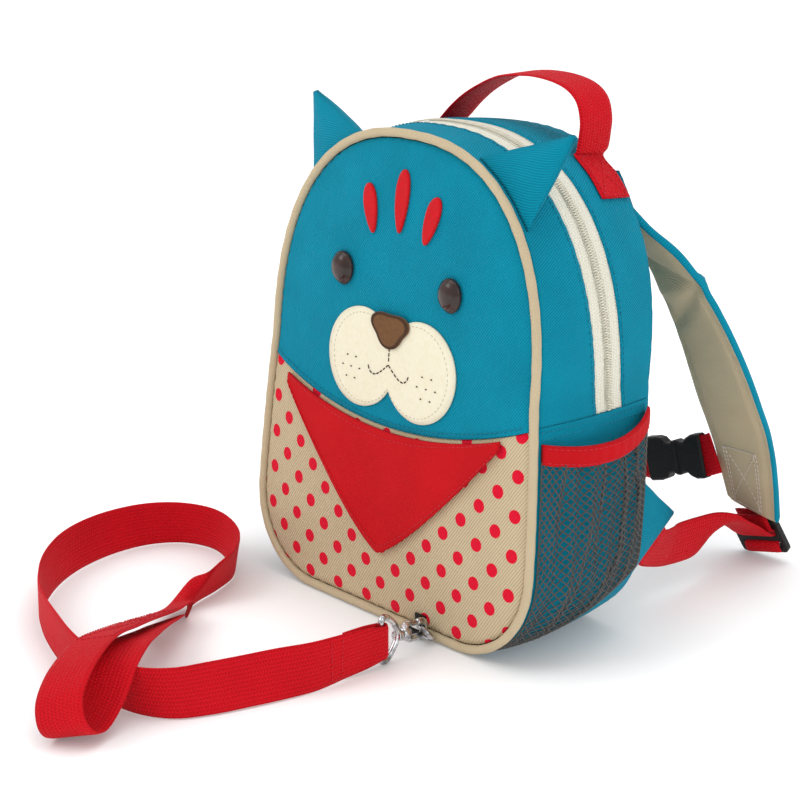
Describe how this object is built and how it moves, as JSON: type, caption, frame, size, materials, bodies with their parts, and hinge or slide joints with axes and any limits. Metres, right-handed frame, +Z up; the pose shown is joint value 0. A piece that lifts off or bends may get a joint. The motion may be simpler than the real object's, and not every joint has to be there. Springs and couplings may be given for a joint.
{
  "type": "toddler harness backpack",
  "caption": "Small domed backpack with an animal face, ears, side net pockets, padded shoulder straps, a chest buckle, a hang loop and a webbing tether on a snap hook.",
  "frame": {"origin": "middle of the bag's flat bottom, on the floor it stands on", "axes": "+Z up, -Y is the way the bag's front panel faces, +X towards the side pocket that the picture shows"},
  "size_m": [0.3114, 0.4685, 0.2988],
  "materials": {
    "teal_cloth": "woven",
    "dotted_cloth": "twill with printed dots",
    "cream_felt": "felt",
    "brown_felt": "felt",
    "brown_button": "polished",
    "red_cloth": "woven",
    "beige_piping": "twill",
    "zip_tape": "woven tape",
    "dark_net": "open net",
    "bright_steel": "polished",
    "black_plastic": "moulded",
    "red_webbing": "woven webbing"
  },
  "bodies": {
    "pack": {"front_panel": "teal_cloth", "lower_front_panel": "dotted_cloth", "muzzle_patch": "cream_felt", "nose_patch": "brown_felt", "eye_button_right": "brown_button", "eye_button_left": "brown_button", "forehead_stripe_middle": "red_cloth", "forehead_stripe_right": "red_cloth", "forehead_stripe_left": "red_cloth", "neckerchief": "red_cloth", "front_piping": "beige_piping", "gusset_front": "teal_cloth", "gusset_back": "teal_cloth", "zip_tape_front": "zip_tape", "zip_tape_back": "zip_tape", "zip_coil": "zip_tape", "gusset_lower": "teal_cloth", "zip_slider": "bright_steel", "back_panel": "teal_cloth", "ear_right": "teal_cloth", "ear_left": "teal_cloth", "pocket_net_right": "dark_net", "pocket_net_left": "dark_net", "pocket_binding_right": "red_cloth", "pocket_binding_left": "red_cloth", "top_handle": "red_webbing", "shoulder_strap_right": "teal_cloth", "shoulder_strap_left": "teal_cloth", "ladder_lock_right": "black_plastic", "ladder_lock_left": "black_plastic", "lock_loop_right": "red_webbing", "lock_loop_left": "red_webbing", "strap_tab_right": "teal_cloth", "strap_tab_left": "teal_cloth", "adjuster_webbing_right": "red_webbing", "adjuster_webbing_left": "red_webbing", "chest_webbing_left": "red_webbing", "chest_webbing_right": "red_webbing", "buckle_female": "black_plastic", "buckle_male": "black_plastic", "tether_strap": "red_webbing", "swivel_eye": "bright_steel", "snap_hook_body": "bright_steel", "d_ring": "bright_steel", "d_ring_tab": "black_plastic"},
    "gate": {"snap_hook_gate": "bright_steel"}
  },
  "joints": [
    {"name": "gate_hinge", "type": "hinge", "parent": "pack", "child": "gate", "pos_m": [0.04368, -0.06171, 0.01522], "axis": [-0.9794, -0.2019, 0], "range_deg": [0, 20], "stiffness_Nm_per_rad": 0.002, "springref_deg": -2.86}
  ]
}
